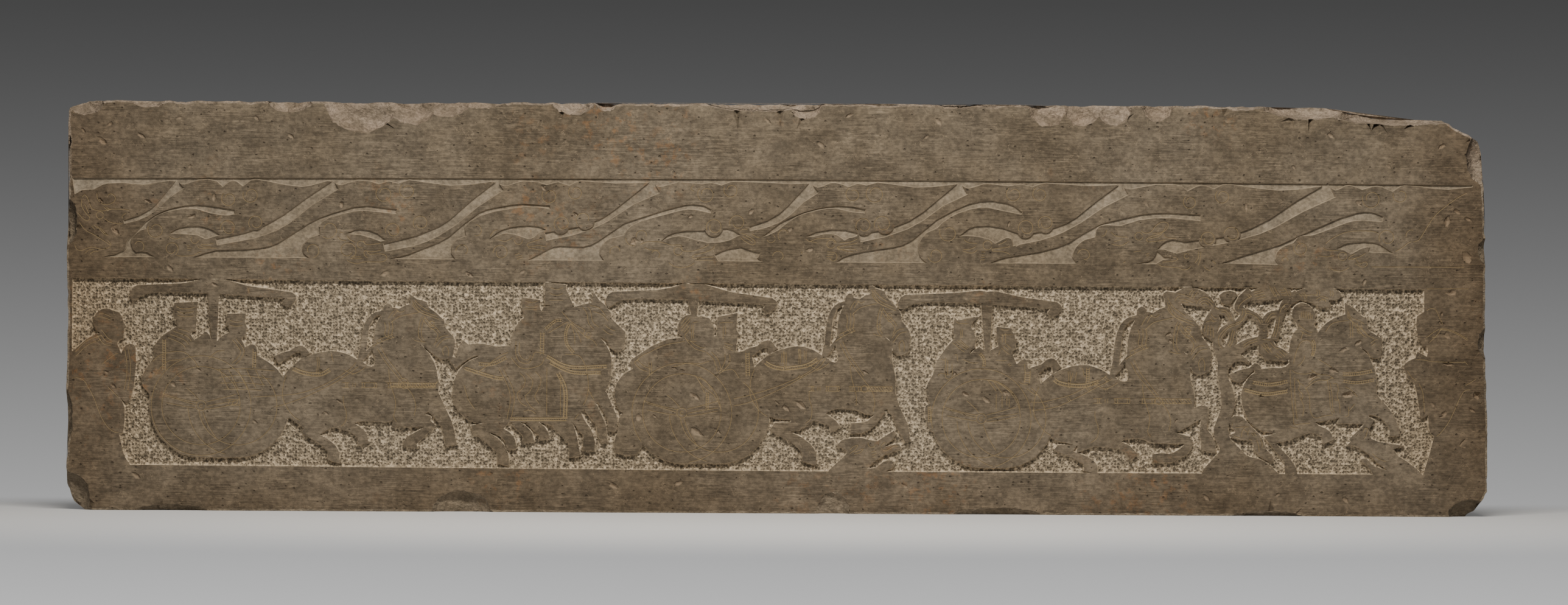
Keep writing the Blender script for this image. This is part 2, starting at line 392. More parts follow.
BAND = [
    # the beast at the left end
    (-1148.7, 536, -1147, 525, -1138, 516, -1126, 516.5, -1118, 522, -1118, 529, -1125.6, 534, -1131, 529),
    (-1174, 526, -1169, 532, -1164, 526, -1159, 513, -1154, 507, -1138, 505, -1120, 508, -1092, 506),
    (-1174, 526, -1174, 513, -1167, 501, -1160, 493, -1164, 488, -1172, 492, -1185, 507),
    (-1169, 517, -1161, 498), (-1138, 512, -1128, 505), (-1134, 512, -1124, 506),
    (-1136, 492, -1126, 486, -1113, 483, -1102, 484, -1100, 488, -1106, 495, -1098, 502),
    (-1180, 489, -1172, 477, -1164, 470, -1154, 465, -1136, 454, -1124, 447, -1131, 457),
    (-1186, 449, -1182, 440, -1174, 438, -1161, 443, -1151, 443, -1138, 440, -1123, 445),
    (-1169, 432, -1161, 439, -1151, 440), (-1161, 430, -1154, 436, -1144, 436), (-1158, 480, -1150, 472),
    (-1154, 482, -1146, 475), (-1148, 480, -1136, 466, -1127, 463), (-1143, 477, -1131, 464),
    # the heads of the clouds
    (-1027, 464, -1023, 460, -1013, 458, -1005, 462),
    (-973, 449, -961, 449, -947, 452, -938, 459, -937, 465),
    (-978, 449, -977, 444, -969, 442, -954, 443, -943, 441, -947, 436), (-974, 449, -969, 445, -954, 445),
    (-1015, 430, -1000, 429, -984, 431, -975, 436, -966, 436), (-998, 447, -991, 446),
    (-997, 443, -987, 442), (-997, 439, -988, 438),
    (-699, 458, -696, 452, -690, 450, -670, 453, -659, 459, -654, 454, -656, 448),
    (-740, 471, -729, 468, -722, 459, -711, 453), (-743, 465, -737, 458, -727, 456),
    (-656, 447, -670, 441, -686, 438, -696, 440, -697, 433, -690, 427),
    (-693, 439, -688, 434, -670, 435, -660, 431, -661, 424, -670, 421, -696, 421, -709, 418, -722, 421,
     -727, 425), (-717, 429, -701, 430), (-719, 426, -699, 427),
    (-485, 459, -486, 464, -476, 476, -470, 472, -480, 460), (-473, 460, -459, 457, -445, 464),
    (-410, 465, -398, 476, -387, 477, -384, 472, -391, 464, -411, 457, -422, 453, -420, 448, -401, 450,
     -380, 445, -387, 442, -422, 446), (-445, 433, -433, 438), (-443, 429, -429, 434),
    (-441, 426, -428, 430), (-141, 554, -147, 547, -140, 542), (-256, 469, -256, 460, -250, 452, -240, 450),
    (-233, 452, -220, 457, -199, 457, -179, 452, -163, 452, -160, 443, -144, 442, -127, 447, -113, 455,
     -108, 455, -108, 447, -122, 440, -141, 435, -143, 430, -120, 432, -103, 431, -107, 427, -141, 427),
    (-226, 448, -216, 444, -199, 443), (-185, 423, -175, 416.5, -161, 414, -148, 417, -139, 423),
    (-66, 474, -52, 469, -38, 459, -42, 453, -59, 462, -66, 474, -55, 480, -47, 476),
    (-45, 472, -31, 465, -18, 466), (-60, 468, -48, 462, -40, 456), (47, 465, 52, 460, 68, 457),
    (54, 459, 68, 464, 92, 464, 100, 455), (102, 457, 123, 459, 136, 465),
    (112, 462, 129, 469, 136, 469.5, 139, 464, 133, 457, 112, 452.5, 100, 450, 102, 446, 126, 447, 140,
     441, 133, 436, 112, 436, 105, 428), (102, 447, 118, 443, 138, 441), (82, 442, 97, 441),
    (82, 438, 97, 438), (81, 434, 95, 434), (81, 430, 94, 430), (40, 438, 42, 443),
    (313, 465, 321, 459, 338, 457), (311, 445, 328, 441, 338, 447), (311, 447, 325, 448, 336, 453),
    (362, 457, 376, 457, 390, 465, 396, 466, 400, 460, 390, 452, 362, 448, 362, 445, 383, 443, 393, 438,
     388, 434), (343, 443, 351, 443), (343, 438, 350, 438), (342, 434, 350, 434), (342, 430, 350, 430),
    (561, 479, 571, 471, 592, 469), (562, 458, 579, 455, 594, 463), (566, 461, 582, 466),
    (612, 481, 620, 476, 630, 479, 638, 489, 648, 495, 658, 493, 657, 485, 648, 477, 628, 470, 622, 466,
     625, 462, 641, 463, 661, 466, 664, 462, 648, 454), (630, 476, 648, 478, 656, 490),
    (625, 467, 640, 470, 649, 476), (651, 476, 656, 469, 674, 468),
    (641, 445, 646, 438, 664, 435, 675, 434, 671, 430, 648, 427, 643, 424, 651, 420, 677, 418, 684, 415,
     694, 417, 697, 422), (643, 446, 653, 438, 674, 436), (599, 444, 615, 447), (620, 440, 628, 443),
    (621, 437, 628, 439), (710, 447, 709, 434, 703, 425), (714, 447, 713, 434, 709, 421),
    (718, 422, 724, 416, 731, 413), (733, 431, 740, 424), (582, 425, 588, 429),
    (545, 470, 552, 473, 555, 482), (923, 459, 937, 470, 957, 479, 981, 482, 1004, 481, 1015, 477),
    (919, 454, 927, 449, 950, 448.5, 959, 449, 970, 445, 983, 452, 991, 455.5, 1000, 453, 997, 448, 983,
     439, 970, 435, 963, 434, 966, 439, 975, 443),
    (968, 432, 975, 435, 981, 427, 993, 430, 995, 426, 988, 421, 973, 427),
    (931, 421, 937, 416, 950, 414, 959, 417, 965, 421), (910, 440, 927, 438, 940, 441),
    (1027, 447, 1040, 447, 1052, 453, 1065, 463, 1070, 463),
    (1070, 463, 1081, 467, 1088, 477, 1099, 495, 1111, 511, 1129, 526, 1147, 539, 1164, 548),
]

TREE = [
    (790, 340, 785, 330, 775, 326, 763, 321, 753, 313, 745, 302, 745, 290, 752, 281),
    (786, 336, 781, 326, 773, 322, 761, 317, 755, 310, 749, 301, 749, 291, 756, 284),
    (773, 316, 770, 305, 768, 294, 762, 283), (769, 315, 766, 305, 764, 295, 759, 285),
    (829, 390, 833, 381, 840, 369), (833, 388, 837, 379, 843, 369), (837, 388, 842, 379, 848, 371),
    (857, 386, 862, 381, 867, 371), (853, 387, 858, 381, 863, 370), (791, 374, 796, 369, 798, 360),
    (794, 376, 800, 370, 802, 361), (802, 377, 818, 381), (802, 373, 822, 379), (804, 369, 824, 375),
    (808, 366, 826, 370), (846, 381, 856, 382), (847, 377, 859, 377), (849, 373, 861, 373),
    (879, 376, 884, 371, 886, 362), (883, 378, 889, 371, 890, 364), (887, 379, 892, 372, 893, 366),
    (908, 384, 911, 377, 909, 372), (912, 384, 915, 377, 913, 372), (931, 383, 934, 375, 931, 370),
    (935, 382, 938, 375, 935, 370), (891, 372, 901, 374, 913, 372),
    (908, 366, 917, 371, 926, 369, 936, 364), (912, 362, 920, 366, 930, 363), (918, 370, 921, 363),
    (923, 369, 925, 361), (852, 352, 858, 358, 866, 356), (854, 347, 860, 352, 866, 350),
    (856, 358, 850, 350, 847, 341), (777, 348, 779, 355, 788, 364, 800, 371),
    (788, 349, 790, 342, 787, 335), (784, 349, 785, 342, 782, 337),
    (790, 346, 802, 344, 813, 337, 819, 325), (790, 342, 801, 340, 811, 333, 816, 323),
    (819, 315, 824, 311, 831, 315), (823, 325, 826, 332, 833, 341, 841, 342),
    (826, 324, 829, 330, 835, 337, 843, 338), (847, 338, 846, 326, 843, 311, 838, 298),
    (843, 338, 842, 326, 839, 311, 835, 301), (816, 299, 831, 297, 836, 299),
    (785, 287, 797, 295, 812, 300), (786, 283, 798, 291, 812, 296), (831, 294, 840, 284, 850, 283),
    (815, 291, 823, 282), (819, 293, 827, 282), (823, 294, 831, 281), (822, 283, 831, 274),
    (827, 285, 836, 275), (841, 276, 853, 266), (845, 280, 858, 268), (850, 281, 861, 271),
    (838, 272, 850, 264), (670, 361, 674, 368, 681, 371), (670, 375, 685, 373, 699, 367),
    (697, 367, 701, 377, 707, 382), (700, 364, 706, 374, 713, 380), (694, 371, 697, 378, 702, 382),
    (705, 353, 711, 365, 722, 369, 732, 363, 738, 355), (709, 352, 714, 361, 722, 364, 730, 359, 735, 352),
    (713, 352, 717, 358, 723, 359, 729, 354), (676, 366, 690, 364, 704, 358),
    (680, 361, 692, 359, 702, 354), (726, 341, 732, 332, 740, 328, 750, 334),
    (729, 344, 735, 336, 741, 333, 748, 337), (724, 347, 738, 351, 746, 347),
    (746, 348, 755, 347, 763, 340, 768, 328), (748, 344, 755, 343, 760, 337, 764, 328),
    (722, 324, 720, 306), (727, 323, 726, 300), (731, 322, 731, 298), (735, 320, 736, 298),
    (722, 326, 731, 329, 738, 326), (768, 157, 770, 150, 780, 149.5, 792, 151),
    (784, 132, 785, 142, 792, 150, 801, 150), (795, 135, 795, 142, 801, 149),
    (809, 130, 813, 118, 814, 106), (814, 133, 819, 123, 818, 114), (788, 146, 794, 141),
    (800, 141, 806, 134), (804, 142, 810, 135), (796, 130, 803, 127), (763, 135, 772, 134, 783, 131),
]

# The harness horses: where each stands, its lift and reach, and the height of its girth band.
HORSES = [(-755, 270, 0, 0, -57), (33, 281, 9, -20, -70), (512, 251, 18, 9, -58)]

# Lines that the three share, from the middle of the back.
HARNESS = [
    (-70, -34, -77, -56, -78, -80, -70, -97, -60, -110, -48, -118), (-21, -8, -20, -24, -22, -38),
    (-18, -8, -17, -24, -19, -38), (3, -3, 7, -20), (24, -74, 24, -86, 29, -104, 27, -120, 16, -130),
    (80, 6, 93, -15, 108, -34, 124, -53, 140, -72, 146, -92, 143, -110),
    (85, 9, 98, -12, 112, -30, 127, -50),
    (100, -28, 102, -48, 107, -66, 112, -84, 111, -100, 109, -110, 115, -120),
    (64, 9, 76, 17, 93, 24, 109, 30), (67, 4, 79, 12, 96, 20, 111, 25), (79, 18, 83, 12), (86, 22, 89, 16),
    (103, 48, 116, 58, 130, 62, 152, 66), (100, 52, 101, 40, 99, 28, 104, 20),
    (105, 52, 107, 40, 105, 28, 109, 22), (92, 50, 95, 40, 93, 30, 99, 22), (98, 54, 104, 64, 112, 72),
    (106, 57, 112, 66, 120, 73), (158, 62, 153, 52, 150, 36, 151, 24, 157, 17),
    (162, 60, 158, 51, 155, 36, 156, 25, 161, 19), (156, 56, 166, 44, 177, 36, 183, 28, 178, 18),
    (160, 59, 170, 48, 181, 39, 188, 30), (175, 10, 188, 25, 205, 28), (179, 6, 192, 20, 207, 23),
    (193, -8, 191, 4, 197, 10, 201, 2, 200, -8), (136, 92, 140, 78, 150, 68, 165, 62, 186, 54),
    (139, 88, 144, 76, 154, 66, 168, 60), (142, 85, 148, 76, 158, 68, 172, 63, 188, 58),
    (140, 94, 146, 84, 156, 76, 170, 68), (112, 70, 120, 66, 128, 70), (141, 20, 152, 17, 164, 16),
    (168, 40, 174, 38, 181, 41), (36, -40, 52, -33, 64, -24), (24, -30, 34, -36, 46, -38),
]

# The near wheels: middle, and how far along the far one stands. Their spokes, from the middle.
WHEELS = [(-971, 177, 62), (-160, 169, 63), (345, 162, 43)]
SPOKES = [
    (-65, 20, -34, 11, -6, 5), (-60, 5, -30, -1, -8, -4), (-61, 16, -38, 10, -9, 1), (8, 6, 28, 11, 61, 20),
    (9, -1, 28, 3, 63, 9), (7, -6, 34, -2, 62, 4), (-3, 9, -14, 21, -26, 31), (3, -9, 12, -32, 26, -55),
]
TYRE, FELLOE, NAVE, AXLE = 84, 66, 8.5, 3         # the radii of a wheel's rings


def smoothed(numbers, step=3.0):
    """A smooth path through x, z pairs, as evenly spaced points."""
    knots = [np.array(numbers[i:i + 2], float) for i in range(0, len(numbers), 2)]
    ends = [2 * knots[0] - knots[1], *knots, 2 * knots[-1] - knots[-2]]
    path = []
    for a, b, c, d in zip(ends, ends[1:], ends[2:], ends[3:]):
        count = max(1, round(float(np.linalg.norm(c - b)) / step))
        for k in range(count):
            t = k / count
            path.append(0.5 * (2 * b + (c - a) * t + (2 * a - 5 * b + 4 * c - d) * t ** 2
                               + (3 * b - a - 3 * c + d) * t ** 3))
    return path + [knots[-1]]


def spiral(x, z, radius, start=0.0, sweep=360.0, tight=1.0):
    """A turn round a middle that closes in to a share of its radius."""
    count = max(6, round(math.radians(abs(sweep)) * radius * (1 + tight) / 2 / 2.8))
    path = []
    for k in range(count + 1):
        angle = math.radians(start + sweep * k / count)
        reach = radius * (1 - (1 - tight) * (k / count) ** 1.6)
        path.append(np.array([x + reach * math.cos(angle), z + reach * math.sin(angle)]))
    return path


def both_sides(path, half):
    """The path moved by half to its left and to its right."""
    path = np.array(path)
    ways = np.gradient(path, axis=0)
    ways /= np.maximum(np.linalg.norm(ways, axis=1, keepdims=True), TINY)
    sides = np.stack([-ways[:, 1], ways[:, 0]], axis=1) * half
    return path + sides, path - sides


def ladder(breadth, room, *numbers):
    """Two lines side by side and the rungs between them."""
    left, right = map(list, both_sides(smoothed(numbers, room), breadth / 2))
    return [left, right] + [[a, b] for a, b in zip(left[1:-1], right[1:-1])]


def wheel(x, z, shift):
    """A spoked wheel and what shows of the far one, a little way along the slab."""
    lines = [spiral(x, z, radius) for radius in (TYRE, FELLOE, NAVE, AXLE)]
    lines += [spiral(x + shift, z, TYRE, 182, 75), spiral(x + shift, z, FELLOE, 184, 230)]
    return lines + [smoothed([a + b for a, b in zip(spoke, (x, z) * 3)]) for spoke in SPOKES]


def harness(x, z, lift, reach, band):
    """The lines on one chariot horse."""
    def placed(path):
        return [np.array([x + u + reach * max(u, 0) / 210,
                          z + v + lift * min(1.3, max(0.0, (v + 10) / 80))]) for u, v in path]

    lines = [smoothed(numbers) for numbers in HARNESS]
    lines.append(spiral(173, 47, 4.5))
    for v in (band + 4, band - 4):
        lines += [smoothed((left, v, right, v)) for left, right in ((20, 36), (52, 80), (96, 190))]
    for u in (28, 31, 40, 44, 56, 60, 76, 80, 100, 104, 116, 120):
        lines.append([(u, band + 5), (u, band - 5)])
    for u in range(130, 190, 5):
        lines.append([(u, band + 4), (u + 6, band - 4)])
    lines.append(spiral(127, band, 6))
    return [placed(line) for line in lines]


def incised_lines():
    """Every incised line of the carving, as lists of points."""
    lines = []
    for curves in (OFFICERS, CHARIOT_RIDERS, RIDERS, HOUNDS, BAND, TREE):
        lines += [smoothed(numbers) for numbers in curves]
    lines += [spiral(*ring) for ring in RINGS]
    lines += [spiral(*scroll, tight=0.5) for scroll in SCROLLS]
    for draw, places in ((ladder, LADDERS), (wheel, WHEELS), (harness, HORSES)):
        for place in places:
            lines += draw(*place)
    return lines


# ---------------------------------------------------------------- the front, as one carved skin

def wander(x, y, z, size, seed=0.0):
    """Smooth noise from about -1 to 1 that changes over a length of size."""
    return noise.noise(Vector((x / size + seed, y / size - seed, z / size + 2 * seed)))


def spaced(a, b, step):
    """Points from a up to but not including b, no more than step apart."""
    count = max(1, math.ceil(np.linalg.norm(b - a) / step))
    return [a + (b - a) * k / count for k in range(count)]


def around(ring):
    """Each item of a closed ring with the one that follows it."""
    return zip(ring, ring[1:] + ring[:1])


def runs(points, holds):
    """The stretches of points one after another for which the test holds."""
    run = []
    for point in points:
        if holds(point):
            run.append(point)
        elif run:
            yield run
            run = []
    if run:
        yield run


def encloses(ring, point):
    """Whether a closed ring of points goes round a point."""
    x, z = point
    starts, ends = ring, np.roll(ring, -1, axis=0)
    spans = (starts[:, 1] > z) != (ends[:, 1] > z)
    a, b = starts[spans], ends[spans]
    crossings = a[:, 0] + (z - a[:, 1]) / (b[:, 1] - a[:, 1]) * (b[:, 0] - a[:, 0])
    return np.count_nonzero(crossings > x) % 2 == 1


def tree_of(points):
    tree = KDTree(len(points))
    for i, (x, z) in enumerate(points):
        tree.insert((x, z, 0), i)
    tree.balance()
    return tree


def scattered(rng, box, step, loose=0.32, rise=None):
    """Points of a jittered grid inside box = (left, right, foot, head), with their columns."""
    left, right, foot, head = box
    rise = rise or step
    for row in range(int((head - foot) / rise) + 1):
        for column in range(int((right - left) / step) + 1):
            yield (column, left + (column + rng.uniform(-loose, loose)) * step,
                   foot + (row + rng.uniform(-loose, loose)) * rise)


def surface_at(solid, x, z):
    """What the solid's front is at x, z: its y and one of face, floor, break or beside."""
    hit = solid.tree.ray_cast(Vector((x, FACE_Y - 50, z)), Vector((0, 1, 0)))
    if hit[0] is None:
        return None, "beside"
    if hit[1].y > -FLAT:
        return hit[0].y, "break"
    return hit[0].y, "face" if hit[0].y < FACE_Y + LEVEL else "floor"


class Skin:
    """Points and edges of the front in the x, z plane, with what each point is for."""

    def __init__(self, solid, ring):
        self.solid = solid
        self.points, self.edges, self.roles = [], [], []
        self.known = {}
        self.groove_samples = [(0.0, -1000.0)]    # one far off, so that there is a nearest one
        self.ring = self.chain(ring, "rim", closed=True)
        self.outline = np.array(ring)
        self.rim_tree = tree_of(ring)
        self.outline_tree = self.groove_tree = None    # known once those points are in

    def add(self, point, *role):
        """Adds a point, unless it is there already, and gives its index."""
        key = (round(float(point[0]), 2), round(float(point[1]), 2))
        if key not in self.known:
            self.known[key] = len(self.points)
            self.points.append(Vector(key))
            self.roles.append(role)
        return self.known[key]

    def join(self, first, second):
        """Keeps an edge between two points, if they aren't the same one."""
        if first != second:
            self.edges.append((first, second))

    def chain(self, points, role, closed=False):
        """Adds points joined one to the next, and gives their indices."""
        indices = [self.add(p, role) for p in points]
        for a, b in zip(indices, indices[1:] + (indices[:1] if closed else [])):
            self.join(a, b)
        return indices

    def clear(self, x, z, gap):
        """Whether x, z lies more than a gap from the outline of the flat face."""
        return self.outline_tree.find((x, z, 0))[2] > gap

    def inside(self, x, z, gap):
        """Whether x, z lies more than a gap from the outer rim."""
        return self.rim_tree.find((x, z, 0))[2] > gap

    def over(self, kind, x, z):
        """Whether x, z lies over one kind of surface."""
        return surface_at(self.solid, x, z)[1] == kind

    def on_face(self, x, z, gap, rim_gap=0):
        """Whether x, z lies on the dressed face with room on every side."""
        return self.clear(x, z, gap) and self.over("face", x, z) and self.inside(x, z, rim_gap)


def outer_rim(solid):
    """The slab's outline seen from the front, as a ring of points."""
    edges = {(t[k], t[(k + 1) % 3]) for t in solid.triangles[solid.in_plane(BACK_Y)] for k in range(3)}
    following = {a: b for a, b in edges if (b, a) not in edges}
    start = min(following)
    ring, here = [start], following[start]
    while here != start:
        ring.append(here)
        here = following[here]
    corners = [solid.points[i][[0, 2]] for i in ring]
    return [p for a, b in around(corners) for p in spaced(a, b, RIM_STEP)]


def roughened(ring):
    """The same ring worn back a little, but level along the underside."""
    middle = np.array([0, TOP_Z / 2])
    worn = []
    for x, z in ring:
        bite = 1.2 + 1.3 * wander(x, 0, z, 17) + 1.0 * wander(x, 0, z, 6, 3)
        if z > TOP_EDGE:
            bite += 5 * max(0.0, wander(x, 0, z, 38, 7))
        bite = max(0.0, bite) * (z > 1)
        inward = np.sign(middle - (x, z)) * (abs(x) > RIM_END, z > TOP_Z - 60 or z < 40)
        worn.append(np.array([x, z]) + inward * bite)
    return worn


def front_skin(solid, settings, lines):
    """Collects every point and edge that the carved front needs."""
    rng = random.Random(SEED)
    ring = roughened(outer_rim(solid))
    skin = Skin(solid, ring)
    add_inner_ring(skin, ring)
    add_feet(skin, add_outline(skin, settings))
    peck(skin, settings, rng)
    for line in lines:
        cut_line(skin, settings, line)
    skin.groove_tree = tree_of(skin.groove_samples)
    pit_face(skin, rng)
    return skin


def add_inner_ring(skin, ring):
    """Adds the points a little inside the rim to which the face has flaked away."""
    for before, (x, z), after in zip(ring[-1:] + ring[:-1], ring, ring[1:] + ring[:1]):
        along = (after - before) / max(float(np.linalg.norm(after - before)), TINY)
        width = 3.4 + 1.9 * wander(x, 0, z, 13, 4)
        for inward in (along[[1, 0]] * (1, -1), along[[1, 0]] * (-1, 1)):
            u, v = (x, z) + inward * width
            if skin.over("face", u, v) and surface_at(skin.solid, *((x, z) + inward))[0]:
                skin.add((u, v), "face")


def corner_ways(solid):
    """The way off the face at each corner of its outline, between the sides that meet there."""
    sides, ways = {}, {}
    for a, b, side in solid.rims:
        for corner in (a, b):
            sides.setdefault(tuple(corner.round(2)), []).append(side)
    for corner, meeting in sides.items():
        way = sum(meeting)
        reach = max(float(np.linalg.norm(way)), 0.5)
        ways[corner] = way / reach * min(1.5, 2 / reach)
    return ways


def frayed(point):
    """A point of a break's border, moved a little so that the border is ragged."""
    x, z = point
    return np.array([x + 2.6 * wander(x, 0, z, 9, 11), z + 2.6 * wander(x, 0, z, 9, 17)])


def add_outline(skin, settings):
    """Adds the flat face's outline, and gives each wall under it: its points, ways and lean."""
    corners = corner_ways(skin.solid)
    samples, walls = [], []
    for a, b, side in skin.solid.rims:
        y, kind = surface_at(skin.solid, *((a + b) / 2 + side * 0.4))
        if kind == "beside" or not skin.inside(*a, RIM_GAP):
            continue
        border = spaced(a, b, OUTLINE_STEP) + [b]
        for run in runs([frayed(p) if kind == "break" else p for p in border],
                        lambda p: skin.inside(*p, 1.5) and encloses(skin.outline, p)):
            skin.chain(run, "edge")
        samples += spaced(a, b, 1.0) + [b]
        if kind == "floor":
            ways = [side] * len(border)
            ways[0], ways[-1] = (corners[tuple(end.round(2))] for end in (a, b))
            lean = settings.wall_slope * min(1.0, (y - FACE_Y) / GROUND_DEPTH) ** 0.5
            walls.append((border, ways, lean))
    skin.outline_tree = tree_of(samples)
    return walls


def add_feet(skin, walls):
    """Adds the foot of each wall, as far out as there is room for it."""
    for points, ways, lean in walls:
        last = None
        for point, way in zip(points, ways):
            here = None
            for share in FOOT_SHARES:
                x, z = point + share * lean * way
                if skin.over("floor", x, z) and skin.clear(x, z, 0.6 * share * lean):
                    here = skin.add((x, z), "foot")
                    break
            if last is not None and here is not None:
                skin.join(last, here)
            last = here


def peck(skin, settings, rng):
    """Covers the sunk ground with pits and ridges, and the ribbons and breaks more thinly."""
    step = settings.pit_spacing / 2
    for column, x, z in scattered(rng, (*ENDS, *GROUND_FIELD), step, rise=PIT_RISE * step):
        y, kind = surface_at(skin.solid, x, z)
        if kind == "floor" and y > RIBBON_Y and skin.clear(x, z, settings.wall_slope + 0.9):
            deep = column % 2 == 0 and rng.random() < 0.8
            drop = rng.uniform(0.4, 1.1) * settings.pit_depth if deep else rng.uniform(-0.9, 0.3)
            skin.add((x, z), "ground", drop)
    for _, x, z in scattered(rng, (*ENDS, *RIBBON_BAND), RIBBON_STEP):
        if skin.over("floor", x, z) and skin.clear(x, z, 2.8):
            skin.add((x, z), "ground", rng.uniform(-0.3, 0.4))
    for _, x, z in scattered(rng, (*ENDS, 0, TOP_Z), BREAK_STEP):
        if skin.over("break", x, z) and skin.inside(x, z, 2.5):
            skin.add((x, z), "break", 2.6 * wander(x, 1, z, 15) + 2.0 * wander(x, 2, z, 5))


def evenly(line):
    """The line with at least four points, and none far apart: closest on a short line."""
    line = [np.array(p, float) for p in line]
    long = sum(float(np.linalg.norm(b - a)) for a, b in zip(line, line[1:]))
    step = min(next(step for reach, step in LINE_STEPS if long < reach), long / 3)
    return [p for a, b in zip(line, line[1:]) for p in spaced(a, b, step)] + [line[-1]]


def cut_line(skin, settings, line):
    """Adds an incised line as a bottom with a lip on each side, broken where there is no face."""
    for run in runs(evenly(line), lambda p: skin.on_face(*p, LINE_GAP)):
        if len(run) < 4:
            continue
        skin.chain(run, "groove")
        for lip in both_sides(run, settings.line_width / 2):
            skin.chain(lip[1:-1], "lip")
        samples = [p for a, b in zip(run, run[1:]) for p in spaced(a, b, 0.5)]
        skin.groove_samples += [tuple(p) for p in samples[2:-1]]


def pit_face(skin, rng):
    """Scatters gouges and pits over the dressed face, and the loose points of its slow waves."""
    marks = [(rng.uniform(*ENDS), rng.uniform(8, TOP_Z - 8), rng.uniform(1.5, 4.5),
              rng.uniform(0.35, 0.8), rng.uniform(0, math.pi), rng.uniform(0.6, 2.0))
             for _ in range(MARK_COUNT)]
    for x, z, reach, narrow, turn, sink in marks + GOUGES:
        corners = []
        reach *= 1.25
        for share, count in ((1.0, 7), (0.5, 5)):
            for k in range(count):
                a = 2 * math.pi * (k + share) / count
                u, v = reach * share * math.cos(a), reach * share * narrow * math.sin(a)
                u *= rng.uniform(0.75, 1.2)
                corners.append((x + u * math.cos(turn) - v * math.sin(turn),
                                z + u * math.sin(turn) + v * math.cos(turn), share))
        if all(skin.on_face(u, v, 1.2, 3) for u, v, _ in corners):
            for u, v, share in corners:
                skin.add((u, v), "pit", sink * (1 - share) * 1.2)
            skin.add((x, z), "pit", 0.8 * sink)
    for _, x, z in scattered(rng, (*ENDS, 0, TOP_Z), FACE_STEP):
        if skin.on_face(x, z, 3, 5):
            skin.add((x, z), "face")


# ---------------------------------------------------------------- the mesh

def depth_of(skin, settings, point, roles):
    """How deep a point of the skin lies, and what the materials should know of it."""
    x, z = point
    names = {role[0] for role in roles}
    if not roles and skin.over("floor", x, z):
        names = {"foot"}
    if "rim" in names:
        rounding = max(0.3, 1.9 + 2.6 * wander(x, 0, z, 11, 4))
        return solid_edge(skin.solid, x, z) + rounding, {"worn": 1}
    if names & {"ground", "foot", "break"}:
        y = surface_at(skin.solid, x, z)[0] + sum(role[1] for role in roles if len(role) > 1)
        return y, {"sunk": sum(role[1] for role in roles if role[0] == "ground")}
    if "edge" in names:
        return FACE_Y, {"arris": 1}
    scar = sum(role[1] for role in roles if role[0] == "pit")
    near = skin.groove_tree.find((x, z, 0))[2]
    groove = max(0.0, 1 - near / (settings.line_width / 2))
    wave = 0.35 + 0.35 * wander(x, 0, z, 130)
    return FACE_Y + scar + wave + settings.line_depth * groove, {"scar": scar, "groove": groove}


def solid_edge(solid, x, z):
    """The front's depth at a point of the rim, looked up a little way inside it."""
    inward = np.array([-np.sign(x), 1.0 if z < TOP_Z / 2 else -1.0])
    for step in (0.0, 0.4, 1.0, 2.0):
        y, _ = surface_at(solid, x + inward[0] * step, z + inward[1] * step)
        if y is not None:
            return min(y, FACE_Y + 60)
    return FACE_Y


def kinds_of(skin, flat, faces, worn):
    """The triangles that lie within the outline, and the kind of surface that each one shows."""
    kept, kinds = [], []
    for corners in faces:
        x, z = sum((flat[i] for i in corners), Vector((0, 0))) / 3
        at_rim = worn[list(corners)]
        if at_rim.all() and not encloses(skin.outline, (x, z)):
            continue
        y, surface = surface_at(skin.solid, x, z)
        kind = BREAK
        if surface == "floor":
            kind = RIBBON if y < RIBBON_Y else GROUND
        elif surface == "face" and not at_rim.any():
            kind = FACE
        kept.append(tuple(corners))
        kinds.append(kind)
    return kept, kinds


def carved_mesh(skin, settings):
    """Joins the skin into triangles and closes it with rough sides, top, underside and back."""
    flat, _, faces, origins, _, _ = delaunay_2d_cdt(skin.points, skin.edges, [], 1, 0.01, True)
    place = {origin: i for i, came in enumerate(origins) for origin in came}
    marks = {name: np.zeros(len(flat)) for name in (*MARKS, "worn")}
    vertices = []
    for i, (point, came) in enumerate(zip(flat, origins)):
        y, found = depth_of(skin, settings, point, [skin.roles[origin] for origin in came])
        vertices.append((point[0], max(y, FACE_Y), point[1]))
        for name, value in found.items():
            marks[name][i] = value
    triangles, kinds = kinds_of(skin, flat, faces, marks["worn"])
    walls, wall_points = close_block(vertices, [place[i] for i in skin.ring])
    kinds += [SIDE] * len(walls)
    mesh = bpy.data.meshes.new("relief_stone")
    mesh.from_pydata([(x * MM, y * MM, z * MM) for x, y, z in vertices + wall_points], [],
                     triangles + walls)
    mesh.polygons.foreach_set("material_index", kinds)
    for name in MARKS:
        layer = mesh.attributes.new(name, "FLOAT", "POINT")
        values = np.append(marks[name], np.zeros(len(wall_points)))
        layer.data.foreach_set("value", values.astype(np.float32))
    mesh.validate()
    mesh.shade_smooth()
    mesh.set_sharp_from_angle(angle=CREASE)
    soften(mesh, kinds, GROUND)
    return mesh


def soften(mesh, kinds, kind):
    """Lets the light run smoothly over the edges between faces of one kind."""
    edge_of_corner = np.empty(len(mesh.loops), np.int32)
    mesh.loops.foreach_get("edge_index", edge_of_corner)
    corners = np.empty(len(mesh.polygons), np.int32)
    mesh.polygons.foreach_get("loop_total", corners)
    sharp = np.zeros(len(mesh.edges), bool)
    mesh.attributes["sharp_edge"].data.foreach_get("value", sharp)
    inside = np.ones(len(mesh.edges), bool)
    inside[edge_of_corner[np.repeat(np.array(kinds) != kind, corners)]] = False
    mesh.attributes["sharp_edge"].data.foreach_set("value", sharp & ~inside)


